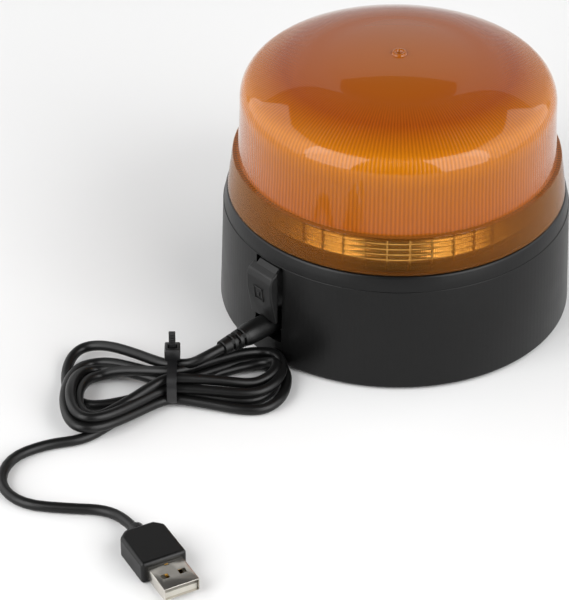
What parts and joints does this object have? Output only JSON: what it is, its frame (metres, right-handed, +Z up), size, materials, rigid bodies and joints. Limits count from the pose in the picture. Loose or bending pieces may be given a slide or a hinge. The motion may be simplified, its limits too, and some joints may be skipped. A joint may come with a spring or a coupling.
{
  "type": "rechargeable led beacon",
  "caption": "Round battery warning beacon with an amber lens on a black magnetic base, a side charging port under a flap, and a coiled USB charging lead.",
  "frame": {"origin": "centre of the rubber pad's underside", "axes": "+Z up out of the lens, -Y out of the charging port, +X to the right of the port seen from outside"},
  "size_m": [0.1369, 0.2348, 0.0951],
  "materials": {
    "base_plastic": "satin",
    "rubber": "matte",
    "plated_steel": "satin",
    "ferrite": "matte",
    "screw_steel": "satin",
    "amber_lens": "gloss",
    "clear_ring": "gloss",
    "circuit_board": "satin",
    "led": "gloss",
    "reflector": "gloss",
    "inner_plastic": "matte",
    "cell_sleeve": "satin",
    "cover_rubber": "satin",
    "button_rubber": "satin",
    "cord_pvc": "satin",
    "nickel": "gloss",
    "tie_nylon": "satin",
    "tongue_plastic": "satin",
    "gold_contact": "gloss"
  },
  "bodies": {
    "base": {"base_housing": "base_plastic", "bottom_cover": "base_plastic", "rubber_pad": "rubber", "magnet_cup": "plated_steel", "magnet": "ferrite", "cover_screws": "screw_steel", "magnet_screws": "screw_steel", "lens": "amber_lens", "prism_ring": "clear_ring", "lens_gasket": "rubber", "led_board": "circuit_board", "leds": "led", "led_board_screws": "screw_steel", "reflector": "reflector", "battery_tray": "inner_plastic", "battery_cells": "cell_sleeve", "control_board": "circuit_board", "control_screws": "screw_steel", "dc_jack": "inner_plastic", "switch_body": "inner_plastic", "port_cover_anchor": "cover_rubber"},
    "port_cover": {"port_cover_flap": "cover_rubber"},
    "power_button": {"power_button": "button_rubber"},
    "charging_lead": {"plug_overmould": "cord_pvc", "plug_barrel": "nickel", "cord_lead_in": "cord_pvc", "cord_hank": "cord_pvc", "cable_tie": "tie_nylon", "cord_tail": "cord_pvc", "usb_overmould": "cord_pvc", "usb_shell": "nickel", "usb_tongue": "tongue_plastic", "usb_contacts": "gold_contact"}
  },
  "joints": [
    {"name": "port_cover_hinge", "type": "hinge", "parent": "base", "child": "port_cover", "pos_m": [0, -0.0587, 0.037], "axis": [-1, 0, 0], "range_deg": [0, 50]},
    {"name": "power_button_slide", "type": "slide", "parent": "base", "child": "power_button", "axis": [0, -1, 0], "range_m": [0, 0.0012], "stiffness_N_per_m": 600},
    {"name": "charging_plug_slide", "type": "slide", "parent": "base", "child": "charging_lead", "axis": [0, -1, 0], "range_m": [0, 0.011]}
  ]
}
